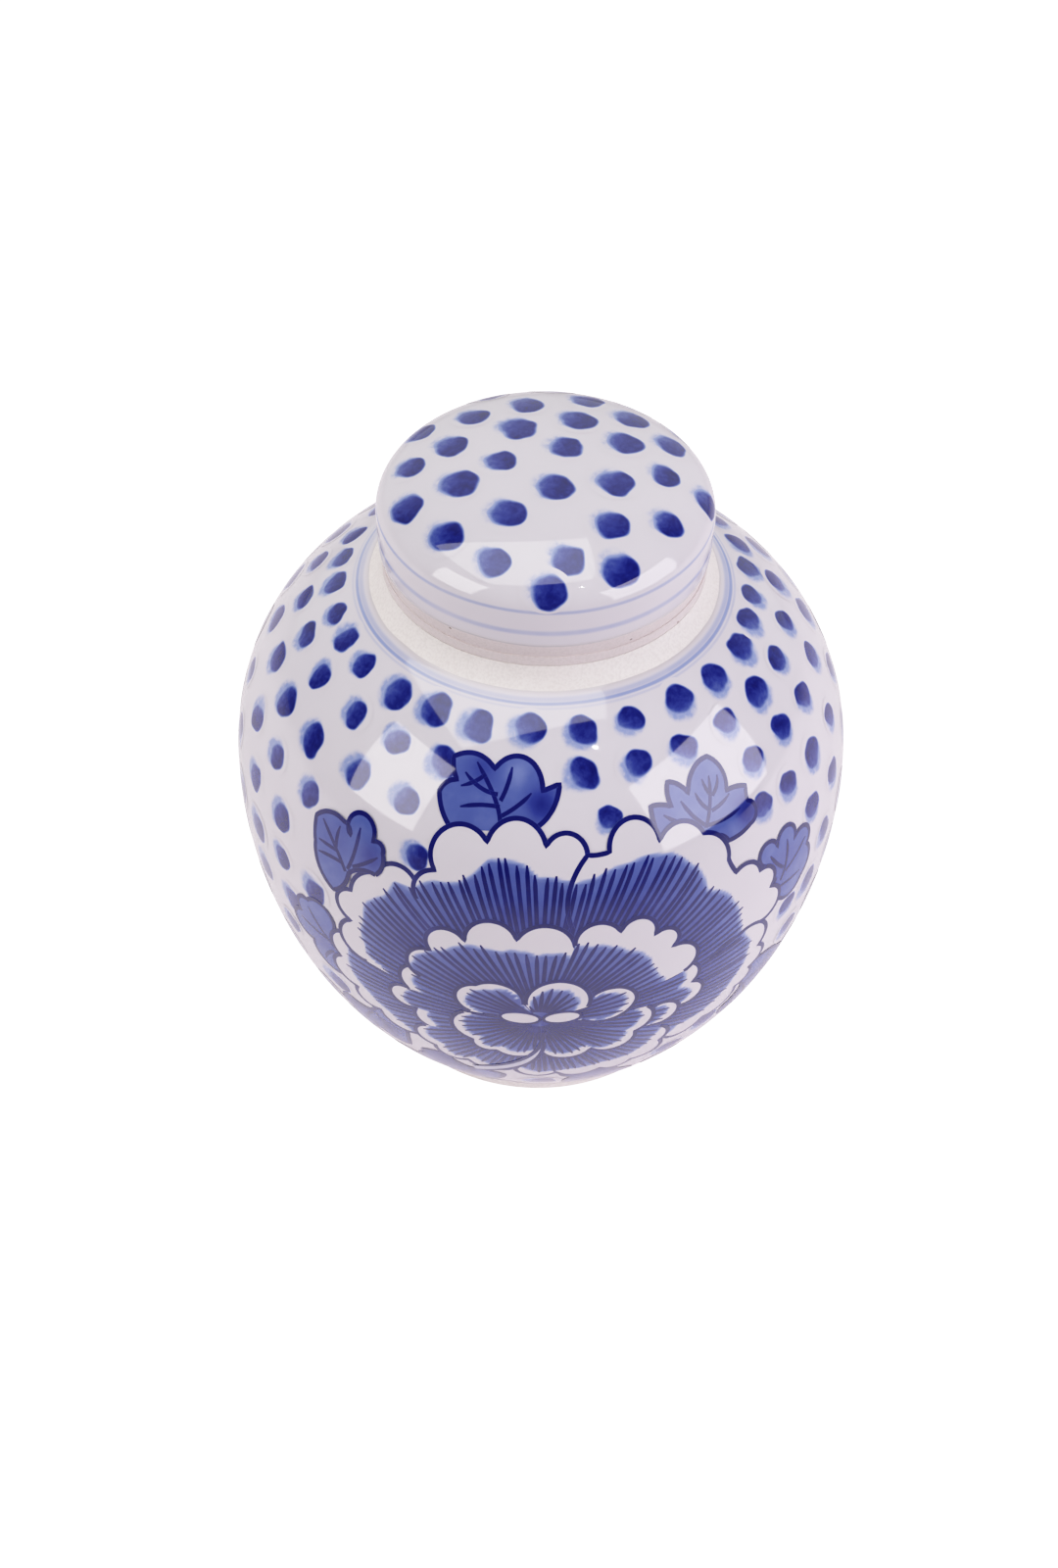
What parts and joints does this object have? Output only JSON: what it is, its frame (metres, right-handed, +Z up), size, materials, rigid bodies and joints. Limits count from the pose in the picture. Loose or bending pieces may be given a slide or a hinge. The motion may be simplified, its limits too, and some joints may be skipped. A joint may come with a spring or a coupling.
{
  "type": "ginger jar",
  "caption": "Round covered porcelain jar with a full shoulder, a narrow foot ring, a hidden neck and a domed cap lid, painted in cobalt blue with a peony and rows of brush dabs.",
  "frame": {"origin": "centre of the foot ring, on the surface that the jar stands on", "axes": "+Z up along the axis of the jar, -Y towards the front of the jar, where the painted peony is"},
  "size_m": [0.16, 0.16, 0.1837],
  "materials": {
    "jar_porcelain": "clear gloss glaze over white porcelain painted in cobalt blue, bare and matt on the shoulder ring, neck rim and foot ring",
    "lid_porcelain": "clear gloss glaze over white porcelain painted in cobalt blue, bare and matt round the rim"
  },
  "bodies": {
    "jar_body": {"jar": "jar_porcelain"},
    "lid_body": {"lid": "lid_porcelain"}
  },
  "joints": [
    {"name": "lid_lift", "type": "slide", "parent": "jar_body", "child": "lid_body", "axis": [0, 0, 1], "range_m": [0, 0.1]}
  ]
}
